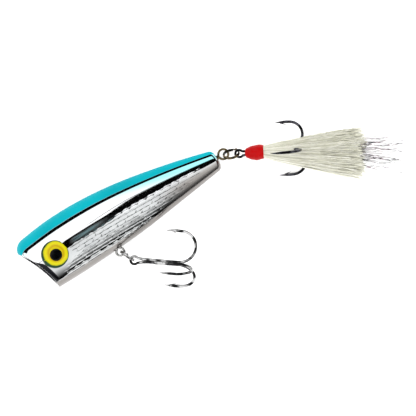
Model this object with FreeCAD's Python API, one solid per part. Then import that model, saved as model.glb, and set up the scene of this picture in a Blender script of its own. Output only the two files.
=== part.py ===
import FreeCAD, Part
import math
import os

from FreeCAD import Matrix, Placement, Rotation, Vector

# Topwater popper: a hollow two-shell ABS lure with a cupped mouth, lying on its right side.
#
# Every lure piece is first drawn in the lure's own frame and then laid down:
#   x  from the mouth to the tail, y  from the belly to the back, z  out of the left flank.
# In the finished part +X is still nose to tail, +Y belly to back, and +Z is up from the table.
# All lengths are millimetres and all angles degrees.

# ---------------------------------------------------------------- driving dimensions
NOSE_X = -3.0                # foremost point of the upper lip
TAIL_X = 60.4                # end of the tail
WALL = 1.5                   # shell thickness
TAIL_ROUND = 1.25            # radius on the tail's edge
LIP_ROUND = 3.0              # length over which the upper lip is rounded
LIP_FALL = 2.75              # the back edge falls this far at the foremost point
LIP_PINCH = 0.5              # share of that fall by which the flanks draw in

# Outline stations along the body: (x, y of the back edge, y of the belly edge, half width)
OUTLINE = [
    (NOSE_X, 9.10, -7.75, 6.25),
    (0.0, 9.50, -7.80, 6.55),
    (6.0, 10.30, -7.80, 6.90),
    (14.0, 10.75, -7.55, 6.80),
    (22.0, 10.55, -7.10, 6.25),
    (32.0, 9.50, -6.35, 5.35),
    (42.0, 7.75, -5.10, 4.35),
    (52.0, 5.55, -3.75, 3.35),
    (TAIL_X, 3.40, -2.55, 2.55),
]

# places of the loft's sections: along the flanks, along the hollow, and round the two ends
FLANK_STATIONS = [0.0, 4.0, 9.0, 15.0, 22.0, 30.0, 38.0, 46.0, 53.0]
HOLLOW_STATIONS = [10.0, 15.0, 22.0, 30.0, 38.0, 46.0]
LIP_ANGLES = (4, 22, 40, 58, 74)
TAIL_ANGLES = (0, 20, 40, 58, 74, 87)

MOUTH_TOP = (-3.0, 6.3)      # where the mouth rim meets the upper lip
MOUTH_BOTTOM = (2.4, -7.7)   # where it meets the chin
MOUTH_SAG = 0.95             # how far the rim dips between them
CUP_RADIUS = 6.1             # half width of the cup at the rim
CUP_DEPTH = 4.0
CUP_STRETCH = 1.13           # the cup is this much taller than wide

CAVITY_FROM = 6.6            # the hollow runs between these two bulkheads
CAVITY_TO = 53.0

EYE_AT = (5.75, 0.95)        # middle of the eye on the flank
EYE_RADIUS = 3.95
EYE_PROUD = 1.0              # top of the dome above the flank
EYE_EDGE = 0.35              # height of the straight edge above the flank
EYE_SEAT = 0.85              # depth let into the shell
EYE_LEAN = (0.13, 0.06, 1.0)
PUPIL_RADIUS = 1.65
PUPIL_DROP = 0.35            # the pupil sits this much nearer the belly
PUPIL_DEPTH = 0.30
PUPIL_PROUD = 0.06

LINE_TIE = dict(eye=(1.75, 0.7), inner=(9.6, 0.7), eye_radius=1.05, wire=0.75)
BELLY_HANGER = dict(eye=(22.6, -8.05), inner=(22.6, -3.7), eye_radius=1.15, wire=0.68)
TAIL_HANGER = dict(eye=(62.7, 0.8), inner=(55.9, 0.8), eye_radius=1.45, wire=0.68)
INNER_RADIUS = 1.15          # the wire's inner loop, round a pin in the shells
LEG_RADIUS, LEG_OFFSET = 0.47, 0.42  # the two legs and how far each stands off, in wire diameters
PIN_RADIUS = 0.72
PIN_LENGTH = 2.6
BOSS_RADIUS = 2.5

RATTLE_Y = 1.8               # height of the rattle tube
RATTLE_CELLS = (29.0, 34.6, 40.2)    # middle of each cell
RATTLE_CELL = 4.8            # length of a cell
RATTLE_BORE = 1.75           # radius of a cell
RATTLE_TUBE = 2.65           # radius of the tube round the cells
RATTLE_END = 0.8             # thickness of the tube's two end walls
FIN = 1.0                    # thickness of the fin that joins the tube to the shells
BALL_RADIUS = 1.5
BALL_GAP = 0.05              # a ball at rest stands this far off the tail end of its cell

WEIGHT_AT = (47.6, 1.0)      # middle of the tail weight
WEIGHT_RADIUS = 1.6
WEIGHT_LENGTH = 7.0
WEIGHT_CHAMFER = 0.3
CRADLE = 1.1                 # thickness of each of the two ribs that hold it
CRADLE_APART = 0.32          # each rib stands this share of the weight's length off its middle
SIDE_REACH = 8.0             # wider than the body, so the ribs are trimmed by the hollow

RING_RADIUS = 2.25           # split ring, middle of the wire
RING_WIDE, RING_THICK = 0.46, 0.36   # one turn of its flattened wire, outwards and along the axis
RING_TURNS = 1.93
RING_PITCH = 1.03            # from one turn to the next, as a share of the wire's thickness
# direction and rise are where the ring's middle lies from the hanger's eye, near is how far its
# wire stands off the middle of that eye, and twist turns the ring about that line
BELLY_RING = dict(direction=-62.0, rise=2.0, near=0.10, twist=90.0)
TAIL_RING = dict(direction=-30.0, rise=19.0, near=0.12, twist=-52.0)

HOOK_EYE = 1.13              # treble's eye, middle of the wire
HOOK_EYE_WIRE = 0.74
HOOK_LINK = 0.13             # the eye's middle lies this far beyond the ring's wire
# reach is from the shank's middle to a point's, straight from the eye to the start of the bend,
# tip from the eye back to the points, and roll and eye_turn are turns about the shank
BELLY_HOOK = dict(wire=0.90, reach=9.65, straight=12.75, tip=8.1, direction=-35.5, rise=5.9,
                  roll=17.0, eye_turn=0.0)
TAIL_HOOK = dict(wire=0.86, reach=8.85, straight=14.3, tip=10.1, direction=-26.4, rise=9.5,
                 roll=6.0, eye_turn=24.0)
SHANK_PACK = 0.52            # a shank wire stands off the middle by this share of its diameter
SINGLE_FROM = 3.0            # where the third wire is brazed on
POINT_TAPER = 3.4
POINT_END = 0.03             # radius left at the very tip
BARB_BACK = 2.5              # from the tip to the root of the barb
BARB_LENGTH = 1.5
BARB_ROOT, BARB_END = 0.20, 0.04     # its radii
BARB_LEAN = 0.42             # it leans this much inwards for each millimetre back
BARB_SINK = 0.25             # its root lies this share of the wire's diameter off the middle
LEG_START = 0.95             # the pair's shanks leave the eye at this share of its radius
SHORTEST_RUN = 0.2           # a straight shorter than this before the point is left out

WRAP_FROM, WRAP_TO = 1.8, 7.3        # thread wrap along the tail hook's shank
WRAP_PROFILE = [(WRAP_FROM, 1.25), (3.2, 1.85), (4.9, 2.12), (6.8, 2.02), (WRAP_TO, 1.90)]
HAIR_LENGTH = 28.1           # hair showing past the thread
HAIR_ROOT = (1.82, 1.76)     # half breadth and half thickness where it leaves the thread
HAIR_END = (7.5, 3.9)
HAIR_FLARE = 0.9             # under 1, the skirt opens faster near the thread
HAIR_SHARES = (0.0, 0.35, 0.7, 1.0)  # where its outline is drawn, as shares of its length
HAIR_DIRECTION, HAIR_RISE = -31.5, 4.0
FLASH_LENGTH = 10.8          # how far the flash shows past the hair
FLASH_DIRECTION = -33.5
FLASH_BREADTH, FLASH_THICKNESS = 4.6, 1.0
FLASH_ROOT = 0.75            # its breadth where it leaves the hair, as a share of that at its end

LURE_TILT = 5.7              # the tail end lies lower than the head
LURE_AT = Vector(-52.583, 9.167, 8.615)   # the lure's own origin in the finished part

# ---------------------------------------------------------------- small helpers
UP = Vector(0, 0, 1)
LAID = Placement(LURE_AT, Rotation(Vector(0, 1, 0), LURE_TILT))


def laid(shape):
    """A copy of a lure piece, put where it lies on the table."""
    copy = shape.copy()
    copy.Placement = LAID.multiply(copy.Placement)
    return copy


def flat_direction(angle, rise=0.0):
    """A unit vector at an angle in the table's plane, lifted by rise."""
    a, r = math.radians(angle), math.radians(rise)
    return Vector(math.cos(a) * math.cos(r), math.sin(a) * math.cos(r), math.sin(r))


def fused(shapes):
    """One solid from several that overlap."""
    return shapes[0].fuse(shapes[1:])


def turned(start, along, across, outline):
    """A body of revolution about along, from (distance, radius) pairs of its outline."""
    points = [start + along * distance + across * radius for distance, radius in outline]
    first = start + along * outline[0][0]
    last = start + along * outline[-1][0]
    closed = [first] + points + [last, first]
    face = Part.Face(Part.makePolygon(closed))
    return face.revolve(start, along, 360)


# ---------------------------------------------------------------- body outline
def station_curve(column):
    """A smooth curve through one column of the outline, as (x, value)."""
    curve = Part.BSplineCurve()
    curve.interpolate([Vector(row[0], row[column], 0) for row in OUTLINE])
    return curve


BACK, BELLY, SIDE = (station_curve(column) for column in (1, 2, 3))


def value_at(curve, x):
    """The curve's height at x."""
    low, high = curve.FirstParameter, curve.LastParameter
    for _ in range(50):
        middle = (low + high) / 2
        if curve.value(middle).x < x:
            low = middle
        else:
            high = middle
    return curve.value((low + high) / 2).y


def tail_corner(x, inset):
    """How far the outline has drawn in at x, where the tail's edge is rounded."""
    start = TAIL_X - TAIL_ROUND - inset
    if x <= start:
        return 0.0
    return TAIL_ROUND - math.sqrt(max(TAIL_ROUND ** 2 - (x - start) ** 2, 0.0))


def lip_drop(x):
    """How far the back edge has fallen at x, where the upper lip is rounded."""
    if x >= 0:
        return 0.0
    return LIP_FALL * (1 - math.sqrt(max(1 - (x / LIP_ROUND) ** 2, 0.0)))


def half_section(x, inset=0.0):
    """The left half of the body's section at x: two quarter ellipses and the split line."""
    drawn_in = inset + tail_corner(x, inset)
    lip = lip_drop(x)
    top = value_at(BACK, x) - drawn_in - lip
    bottom = value_at(BELLY, x) + drawn_in
    side = value_at(SIDE, x) - drawn_in - LIP_PINCH * lip
    middle = (top + bottom) / 2
    arcs = []
    for edge in (top, bottom):
        height = abs(edge - middle)
        long_way, short_way = (Vector(x, edge, 0), Vector(x, middle, side))
        if height < side:
            long_way, short_way = short_way, long_way
        ellipse = Part.Ellipse(long_way, short_way, Vector(x, middle, 0))
        ends = [ellipse.parameter(Vector(x, edge, 0)), ellipse.parameter(Vector(x, middle, side))]
        span = (ends[1] - ends[0]) % (2 * math.pi)
        if span > math.pi:
            ends.reverse()
        arcs.append(Part.Arc(ellipse, ends[0], ends[0] + (ends[1] - ends[0]) % (2 * math.pi)).toShape())
    split = Part.makeLine(Vector(x, bottom, 0), Vector(x, top, 0))
    return Part.Wire(Part.__sortEdges__(arcs + [split]))


def half_body(stations, inset=0.0):
    """The left half of the body, or of its hollow, through sections at the stations."""
    return Part.makeLoft([half_section(x, inset) for x in stations], True, False)


def mirrored(shape):
    """The same shape on the right flank."""
    return shape.mirror(Vector(0, 0, 0), UP)


def mouth_cut():
    """What the mouth takes from the body: the dished front face and the cup behind it."""
    top, bottom = Vector(*MOUTH_TOP, 0), Vector(*MOUTH_BOTTOM, 0)
    middle = (top + bottom) / 2
    upward = (top - bottom).normalize()
    forward = upward.cross(UP) * -1
    if forward.x > 0:
        forward = forward * -1
    half = (top - bottom).Length / 2
    face_radius = (half ** 2 + MOUTH_SAG ** 2) / (2 * MOUTH_SAG)
    axis = middle + forward * (face_radius - MOUTH_SAG)
    face = Part.makeCylinder(face_radius, 30, axis - UP * 15, UP)
    cup_radius = (CUP_RADIUS ** 2 + CUP_DEPTH ** 2) / (2 * CUP_DEPTH)
    cup = Part.makeSphere(cup_radius)
    stretch = Matrix()
    stretch.scale(1, CUP_STRETCH, 1)
    cup = cup.transformGeometry(stretch)
    turn = Rotation(Vector(0, 1, 0), upward)
    cup_middle = middle + forward * (cup_radius - CUP_DEPTH - MOUTH_SAG)
    cup.Placement = Placement(cup_middle, turn)
    return face.fuse(cup)


# ---------------------------------------------------------------- wire parts in the body
def wire_figure(eye, inner, eye_radius, wire):
    """A bent wire with an eye outside the body and a loop round a pin inside it."""
    eye, inner = Vector(*eye, 0), Vector(*inner, 0)
    along = (inner - eye).normalize()
    outer_loop = Part.makeTorus(eye_radius, wire / 2, eye, UP)
    inner_loop = Part.makeTorus(INNER_RADIUS, wire / 2, inner, UP)
    length = (inner - eye).Length - eye_radius - INNER_RADIUS
    side = along.cross(UP) * (wire * LEG_OFFSET)
    legs = [Part.makeCylinder(wire * LEG_RADIUS, length, eye + along * eye_radius + side * turn, along)
            for turn in (-1, 1)]
    return fused([outer_loop, inner_loop] + legs)


# ---------------------------------------------------------------- eyes
def eye_frame():
    """The point of the left flank under the eye, and the direction that the eye faces."""
    x, y = EYE_AT
    top, bottom, side = (value_at(curve, x) for curve in (BACK, BELLY, SIDE))
    middle, height = (top + bottom) / 2, (top - bottom) / 2
    z = side * math.sqrt(1 - ((y - middle) / height) ** 2)
    return Vector(x, y, z), Vector(*EYE_LEAN).normalize()


def eye_dome(top):
    """The domed disc of the eye, from its seat to a dome of the given height."""
    at, facing = eye_frame()
    rise = top - EYE_EDGE
    radius = (EYE_RADIUS ** 2 + rise ** 2) / (2 * rise)
    across = facing.cross(Vector(0, 1, 0)).normalize()
    seat = at - facing * EYE_SEAT
    disc = Part.makeCylinder(EYE_RADIUS, EYE_SEAT + 2 * top, seat, facing)
    ball = Part.makeSphere(radius, at + facing * (top - radius), facing)
    return disc.common(ball), at, facing, across


def eye_pieces():
    """The left eye and its pupil."""
    dome, at, facing, across = eye_dome(EYE_PROUD)
    down = facing.cross(across) * PUPIL_DROP
    if down.y > 0:
        down = down * -1
    root = at + down + facing * (EYE_PROUD - PUPIL_DEPTH)
    seat = Part.makeCylinder(PUPIL_RADIUS, 2 * EYE_PROUD, root, facing)
    raised = eye_dome(EYE_PROUD + PUPIL_PROUD)[0]
    return dome.cut(seat), seat.common(raised)


# ---------------------------------------------------------------- shells
def outer_stations():
    """Places for sections: close together where the lip and the tail are rounded."""
    lip = [NOSE_X * math.cos(math.radians(angle)) for angle in LIP_ANGLES]
    tail_start = TAIL_X - TAIL_ROUND
    tail = [tail_start + TAIL_ROUND * math.sin(math.radians(angle)) for angle in TAIL_ANGLES]
    return lip + FLANK_STATIONS + tail


def rattle_tube():
    """A tube along the body with a closed cell for each ball."""
    tailward = Vector(1, 0, 0)
    first = RATTLE_CELLS[0] - RATTLE_CELL / 2 - RATTLE_END
    length = RATTLE_CELLS[-1] + RATTLE_CELL / 2 + RATTLE_END - first
    tube = Part.makeCylinder(RATTLE_TUBE, length, Vector(first, RATTLE_Y, 0), tailward)
    low = Vector(first, RATTLE_Y - FIN / 2, -SIDE_REACH)
    solid = tube.fuse(Part.makeBox(length, FIN, 2 * SIDE_REACH, low))
    for middle in RATTLE_CELLS:
        start = Vector(middle - RATTLE_CELL / 2, RATTLE_Y, 0)
        solid = solid.cut(Part.makeCylinder(RATTLE_BORE, RATTLE_CELL, start, tailward))
    return solid


def inner_ribs():
    """Bosses for the wires' pins and the ribs that cradle the tail weight, before trimming."""
    ribs = [Part.makeCylinder(BOSS_RADIUS, 2 * SIDE_REACH, Vector(*hanger["inner"], -SIDE_REACH), UP)
            for hanger in (LINE_TIE, BELLY_HANGER)]
    for shift in (-CRADLE_APART, CRADLE_APART):
        low = Vector(WEIGHT_AT[0] + shift * WEIGHT_LENGTH - CRADLE / 2, -SIDE_REACH, -SIDE_REACH)
        ribs.append(Part.makeBox(CRADLE, 2 * SIDE_REACH, 2 * SIDE_REACH, low))
    return ribs


def tail_weight():
    """The slug that sits the lure tail down in the water."""
    x, y = WEIGHT_AT
    start = Vector(x - WEIGHT_LENGTH / 2, y, 0)
    slug = Part.makeCylinder(WEIGHT_RADIUS, WEIGHT_LENGTH, start, Vector(1, 0, 0))
    rims = [edge for edge in slug.Edges if edge.Curve.TypeId == "Part::GeomCircle"]
    return slug.makeChamfer(WEIGHT_CHAMFER, rims)


def shells(left_eye_full):
    """The two halves of the body, split along the middle."""
    outer = half_body(outer_stations())
    hollow = half_body([CAVITY_FROM] + HOLLOW_STATIONS + [CAVITY_TO], WALL)
    ribs = [rib.common(hollow) for rib in inner_ribs() + [rattle_tube()]]
    left = outer.cut(hollow)
    for rib in ribs:
        left = left.fuse(rib)
    left = left.cut(mouth_cut())
    left = left.cut(left_eye_full)
    left = left.cut(tail_weight())
    right = mirrored(left)
    pins = []
    for hanger in (LINE_TIE, BELLY_HANGER, TAIL_HANGER):
        figure = wire_figure(**hanger)
        left, right = left.cut(figure), right.cut(figure)
        inner = Vector(*hanger["inner"], 0)
        pins.append(Part.makeCylinder(PIN_RADIUS, PIN_LENGTH, inner - UP * (PIN_LENGTH / 2), UP))
    for pin in pins:
        left = left.fuse(pin)
        right = right.cut(pin)
    return left, right


# ---------------------------------------------------------------- split rings
def split_ring(hanger, direction, rise, near, twist):
    """A double coil through a hanger's eye, and the place of the hook's eye on its far side."""
    eye = LAID.multVec(Vector(*hanger["eye"], 0))
    lure_up = LAID.Rotation.multVec(UP)
    away = LAID.Rotation.multVec(flat_direction(direction, rise))
    middle = eye + away * (near + RING_RADIUS)
    level = lure_up.cross(away).normalize()
    axis = Rotation(away, twist).multVec(away.cross(level))
    pitch = RING_THICK * RING_PITCH
    helix = Part.makeHelix(pitch, pitch * RING_TURNS, RING_RADIUS)
    corner = [Vector(RING_RADIUS + u * RING_WIDE / 2, 0, v * RING_THICK / 2)
              for u, v in ((-1, -1), (1, -1), (1, 1), (-1, 1))]
    profile = Part.makePolygon(corner + corner[:1])
    coil = Part.Wire(helix).makePipeShell([profile], True, True)
    # the free ends of the coil lie a quarter turn away from both of the things it links
    start = Rotation(UP, axis).multVec(Vector(1, 0, 0))
    side = axis.cross(away)
    turn = math.degrees(math.atan2(start.cross(side).dot(axis), start.dot(side)))
    centred = Placement(Vector(0, 0, -pitch * RING_TURNS / 2), Rotation())
    turned_over = Rotation(axis, turn).multiply(Rotation(UP, axis))
    coil.Placement = Placement(middle, turned_over).multiply(centred)
    return coil, middle + away * (RING_RADIUS + HOOK_LINK)


# ---------------------------------------------------------------- treble hooks
def hook_axes(direction, rise, roll, eye_turn):
    """Unit vectors along the shank and square to the eye, and the three prongs' directions."""
    along = flat_direction(direction, rise)
    upward = along.cross(UP.cross(along).normalize())
    facing = Rotation(along, eye_turn).multVec(upward)
    prongs = [Rotation(along, roll + 120 * k).multVec(upward) for k in (0, 1, 2)]
    return along, facing, prongs


def prong(start, along, outward, wire, reach, straight, tip, begin):
    """One prong with its share of the shank: wire, bend, point and barb."""
    stand_off = outward * (wire * SHANK_PACK)
    bend_radius = (reach - wire * SHANK_PACK) / 2
    shank_end = start + along * straight
    a = start + along * begin + stand_off
    b = shank_end + stand_off
    c = shank_end + stand_off + outward * bend_radius + along * bend_radius
    d = shank_end + outward * reach
    e = start + along * (tip + POINT_TAPER) + outward * reach
    path = [Part.makeLine(a, b), Part.Arc(b, c, d).toShape()]
    if (d - e).Length > SHORTEST_RUN and (e - start).dot(along) < straight:
        path.append(Part.makeLine(d, e))
    else:
        e = d
    profile = Part.Wire(Part.Circle(a, along, wire / 2).toShape())
    body = Part.Wire(path).makePipeShell([profile], True, False)
    taper = (e - start).dot(along) - tip
    point = Part.makeCone(wire / 2, POINT_END, taper, e, along * -1)
    root = start + along * (tip + BARB_BACK) + outward * (reach - wire * BARB_SINK)
    lean = (along - outward * BARB_LEAN).normalize()
    barb = Part.makeCone(BARB_ROOT, BARB_END, BARB_LENGTH, root, lean)
    return fused([body, point, barb])


def treble(at, wire, reach, straight, tip, direction, rise, roll, eye_turn):
    """The two-prong wire with the eye, and the third prong brazed to it."""
    along, facing, outwards = hook_axes(direction, rise, roll, eye_turn)
    eye = Part.makeTorus(HOOK_EYE, HOOK_EYE_WIRE / 2, at, facing)
    pair = [prong(at, along, outward, wire, reach, straight, tip, HOOK_EYE * LEG_START)
            for outward in outwards[1:]]
    double = fused([eye] + pair)
    single = prong(at, along, outwards[0], wire, reach, straight, tip, SINGLE_FROM).cut(double)
    return double, single


# ---------------------------------------------------------------- tail dressing
def thread_wrap(at):
    """The lacquered thread that binds the hair to the tail hook."""
    along = flat_direction(TAIL_HOOK["direction"], TAIL_HOOK["rise"])
    return turned(at, along, UP.cross(along).normalize(), WRAP_PROFILE)


def flat_oval(middle, along, breadth, thickness):
    """An oval outline square to along, broad in the table's plane."""
    across = UP.cross(along).normalize()
    upward = along.cross(across)
    ellipse = Part.Ellipse(middle + across * breadth, middle + upward * thickness, middle)
    return Part.Wire(ellipse.toShape())


def hair_and_flash(at):
    """Plain closed solids for the hair skirt and for the flash that shows past it."""
    shank = flat_direction(TAIL_HOOK["direction"], TAIL_HOOK["rise"])
    along = flat_direction(HAIR_DIRECTION, HAIR_RISE)
    root = at + shank * WRAP_TO
    ovals = []
    for share in HAIR_SHARES:
        breadth, thickness = (a + (b - a) * share ** HAIR_FLARE for a, b in zip(HAIR_ROOT, HAIR_END))
        facing = shank if share == 0 else along
        ovals.append(flat_oval(root + along * (HAIR_LENGTH * share), facing, breadth, thickness))
    hair = Part.makeLoft(ovals, True, False)
    end = root + along * HAIR_LENGTH
    onward = flat_direction(FLASH_DIRECTION)
    flash = Part.makeLoft([flat_oval(end, along, FLASH_BREADTH * FLASH_ROOT, FLASH_THICKNESS),
                           flat_oval(end + onward * FLASH_LENGTH, onward, FLASH_BREADTH, FLASH_THICKNESS)],
                          True, False)
    return hair, flash


# ---------------------------------------------------------------- the whole lure
def build():
    """Every node's solid, by name."""
    nodes = {}
    eye, pupil = eye_pieces()
    left, right = shells(eye_dome(EYE_PROUD)[0])
    lure = {"left_shell": left, "right_shell": right,
            "left_eye": eye, "right_eye": mirrored(eye),
            "left_pupil": pupil, "right_pupil": mirrored(pupil),
            "line_tie": wire_figure(**LINE_TIE),
            "belly_hanger": wire_figure(**BELLY_HANGER),
            "tail_hanger": wire_figure(**TAIL_HANGER),
            "tail_weight": tail_weight()}
    for number, middle in enumerate(RATTLE_CELLS, 1):
        x = middle + RATTLE_CELL / 2 - BALL_RADIUS - BALL_GAP
        lure[f"rattle_ball_{number}"] = Part.makeSphere(BALL_RADIUS, Vector(x, RATTLE_Y, 0))
    for name, shape in lure.items():
        nodes[name] = laid(shape)

    for place, hanger, ring, hook in (("belly", BELLY_HANGER, BELLY_RING, BELLY_HOOK),
                                      ("tail", TAIL_HANGER, TAIL_RING, TAIL_HOOK)):
        coil, at = split_ring(hanger, **ring)
        nodes[f"{place}_split_ring"] = coil
        double, single = treble(at, **hook)
        nodes[f"{place}_treble_double"] = double
        nodes[f"{place}_treble_single"] = single

    tail_hook = [nodes["tail_treble_double"], nodes["tail_treble_single"]]
    wrap = thread_wrap(at)
    hair, flash = hair_and_flash(at)
    for wire in tail_hook:
        wrap, hair = wrap.cut(wire), hair.cut(wire)
    nodes["thread_wrap"] = wrap
    nodes["hair_skirt"] = hair.cut(wrap)
    nodes["flash_strands"] = flash.cut(hair)
    return nodes


def write(nodes):
    """One STEP file for each node, and a line with its volume."""
    os.makedirs("parts", exist_ok=True)
    low, high = Vector(1e9, 1e9, 1e9), Vector(-1e9, -1e9, -1e9)
    for name, shape in nodes.items():
        shape.exportStep(f"parts/{name}.step")
        box = shape.optimalBoundingBox(False, False)
        low = Vector(min(low.x, box.XMin), min(low.y, box.YMin), min(low.z, box.ZMin))
        high = Vector(max(high.x, box.XMax), max(high.y, box.YMax), max(high.z, box.ZMax))
        print(f"{name:22s} solids {len(shape.Solids)}  valid {shape.isValid()}  "
              f"volume {shape.Volume:9.2f}  z from {box.ZMin:6.2f} to {box.ZMax:6.2f}")
    print("box from", low, "to", high)


write(build())
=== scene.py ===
import math
import random

import bmesh
import bpy
from mathutils import Matrix, Vector


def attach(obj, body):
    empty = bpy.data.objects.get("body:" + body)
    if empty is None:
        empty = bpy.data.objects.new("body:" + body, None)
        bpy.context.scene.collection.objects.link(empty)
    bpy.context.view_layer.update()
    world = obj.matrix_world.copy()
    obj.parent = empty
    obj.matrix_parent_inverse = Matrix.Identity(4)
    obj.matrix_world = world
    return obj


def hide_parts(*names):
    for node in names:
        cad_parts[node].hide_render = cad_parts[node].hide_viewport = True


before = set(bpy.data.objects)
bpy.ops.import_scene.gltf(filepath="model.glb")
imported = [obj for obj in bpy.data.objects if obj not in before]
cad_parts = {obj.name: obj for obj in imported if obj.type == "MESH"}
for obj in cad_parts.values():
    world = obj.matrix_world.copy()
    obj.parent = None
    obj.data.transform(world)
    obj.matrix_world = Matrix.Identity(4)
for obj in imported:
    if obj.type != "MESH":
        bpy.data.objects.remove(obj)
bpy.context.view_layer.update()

# Topwater popper. Lengths here are millimetres until a piece is finished, then metres.
MM = 0.001

bpy.context.scene.view_settings.view_transform = "Standard"

# ---------------------------------------------------------------- sizes shared with the CAD model
NOSE_X, TAIL_X = -3.0, 60.4
TAIL_ROUND = 1.25
LIP_ROUND, LIP_FALL, LIP_PINCH = 3.0, 2.75, 0.5

# along the body: x, y of the back edge, y of the belly edge, half width
OUTLINE = [
    (NOSE_X, 9.10, -7.75, 6.25),
    (0.0, 9.50, -7.80, 6.55),
    (6.0, 10.30, -7.80, 6.90),
    (14.0, 10.75, -7.55, 6.80),
    (22.0, 10.55, -7.10, 6.25),
    (32.0, 9.50, -6.35, 5.35),
    (42.0, 7.75, -5.10, 4.35),
    (52.0, 5.55, -3.75, 3.35),
    (TAIL_X, 3.40, -2.55, 2.55),
]

MOUTH_TOP, MOUTH_BOTTOM = Vector((-3.0, 6.3, 0)), Vector((2.4, -7.7, 0))
MOUTH_SAG = 0.95
CUP_DEPTH, CUP_STRETCH = 4.0, 1.13

EYE_X, EYE_Y = 5.75, 0.95
EYE_RADIUS, EYE_PROUD, EYE_SEAT = 3.95, 1.0, 0.85
EYE_LEAN = Vector((0.13, 0.06, 1.0)).normalized()
PUPIL_DROP = 0.35

LINE_TIE = dict(eye=(1.75, 0.7), inner=(9.6, 0.7), loop=1.05, wire=0.75)
BELLY_HANGER = dict(eye=(22.6, -8.05), inner=(22.6, -3.7), loop=1.15, wire=0.68)
TAIL_HANGER = dict(eye=(62.7, 0.8), inner=(55.9, 0.8), loop=1.45, wire=0.68)

RING_RADIUS, RING_WIDE, RING_THICK, RING_TURNS = 2.25, 0.46, 0.36, 1.93
BELLY_RING = dict(direction=-62.0, rise=2.0, near=0.10, twist=90.0)
TAIL_RING = dict(direction=-30.0, rise=19.0, near=0.12, twist=-52.0)

HOOK_EYE, HOOK_EYE_WIRE, HOOK_LINK = 1.13, 0.74, 0.13
BELLY_HOOK = dict(wire=0.90, reach=9.65, straight=12.75, tip=8.1, direction=-35.5, rise=5.9,
                  roll=17.0, eye_turn=0.0)
TAIL_HOOK = dict(wire=0.86, reach=8.85, straight=14.3, tip=10.1, direction=-26.4, rise=9.5,
                 roll=6.0, eye_turn=24.0)
SHANK_PACK, SINGLE_FROM = 0.52, 3.0
POINT_TAPER, BARB_BACK = 3.4, 2.5

WRAP = [(1.8, 1.25), (3.2, 1.85), (4.9, 2.12), (6.8, 2.02), (7.3, 1.90)]
HAIR_LENGTH = 28.1
HAIR_ROOT, HAIR_END = (1.82, 1.76), (7.5, 3.9)
HAIR_DIRECTION, HAIR_RISE = -31.5, 4.0
FLASH_LENGTH, FLASH_TURN = 10.8, -2.0

LURE_TILT = math.radians(5.7)
LURE_AT = Vector((-52.583, 9.167, 8.615))
LAID = Matrix.Translation(LURE_AT) @ Matrix.Rotation(LURE_TILT, 4, "Y")
UP = Vector((0, 0, 1))

# ---------------------------------------------------------------- sizes that differ from the CAD model
CUP_RADIUS = 5.4                         # 0.7 less, so that it stays inside the eased edge
EYE_EDGE = 0.46                          # the eye's rim stands 0.11 prouder
PUPIL_RADIUS = 1.80                      # 0.15 more
HAIR_OVER, FLASH_OVER = 1.8, 5.4         # laid out this much longer, as most strands end short of it

# ---------------------------------------------------------------- sizes of the finish
FLANK_TURNS = [(-90, -60, 26), (-60, 9, 126), (9, 90, 56)]   # degrees round a flank, and steps
SKIN_ROWS, LIP_ROWS, TAIL_ROWS = 420, 30, 16
LIP_REACH = 3.4                          # the rows are closer together this far back
RIM_EASE = (0.25, 1.1)                   # the mouth's edge is eased over this much, lip and chin
CUP_RINGS = 30
MOUTH_SHADE_UV = -0.3                          # the skin's second UV where the mouth and chin carry painted shade
PAINTED_SHADE_RIM = 1.35                         # the painted shade reaches this far round the chin's edge
SCALE_LENGTH, SCALE_ROW = 2.7, 0.98      # one moulded scale
SCALE_STEP, SCALE_LIFT = 0.085, 0.048    # how far it rises across its row and along it
SCALE_BULGE = 0.030                      # how far its middle may bulge
SEAM_DEPTH, SEAM_WIDTH = 0.05, 0.12
PAINT_EDGE = 0.833                       # share of the body's height where the colour starts
FLASH_THICK = 0.02                       # the film of one flash strand


# ---------------------------------------------------------------- small helpers
def linear(colour):
    """An sRGB hex colour as the linear RGBA that shaders take."""
    parts = [int(colour[i:i + 2], 16) / 255 for i in (1, 3, 5)]
    return tuple(c / 12.92 if c <= 0.04045 else ((c + 0.055) / 1.055) ** 2.4 for c in parts) + (1.0,)


def flat_direction(angle, rise):
    """A unit vector at an angle in the table's plane, lifted by rise."""
    a, r = math.radians(angle), math.radians(rise)
    return Vector((math.cos(a) * math.cos(r), math.sin(a) * math.cos(r), math.sin(r)))


def about(axis, degrees):
    """A turn about an axis."""
    return Matrix.Rotation(math.radians(degrees), 3, axis)


def smooth(low, high, value):
    """0 below low, 1 above high, and an easy rise between."""
    t = min(max((value - low) / (high - low), 0.0), 1.0)
    return t * t * (3 - 2 * t)


def natural_spline(points):
    """A smooth function through (x, y) points, with no bend at its ends."""
    xs, ys = zip(*points)
    count = len(xs)
    bend, upper = [0.0] * count, [0.0] * count
    for i in range(1, count - 1):
        before, after = xs[i] - xs[i - 1], xs[i + 1] - xs[i]
        pull = 6 * ((ys[i + 1] - ys[i]) / after - (ys[i] - ys[i - 1]) / before)
        pivot = 2 * (before + after) - before * upper[i - 1]
        upper[i] = after / pivot
        bend[i] = (pull - before * bend[i - 1]) / pivot
    for i in range(count - 2, 0, -1):
        bend[i] -= upper[i] * bend[i + 1]

    def value(x):
        i = max(k for k in range(count - 1) if k == 0 or xs[k] <= x)
        step = xs[i + 1] - xs[i]
        a, b = (xs[i + 1] - x) / step, (x - xs[i]) / step
        curve = ((a ** 3 - a) * bend[i] + (b ** 3 - b) * bend[i + 1]) * step * step / 6
        return a * ys[i] + b * ys[i + 1] + curve
    return value


BACK, BELLY, SIDE = (natural_spline([(row[0], row[k]) for row in OUTLINE]) for k in (1, 2, 3))


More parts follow.
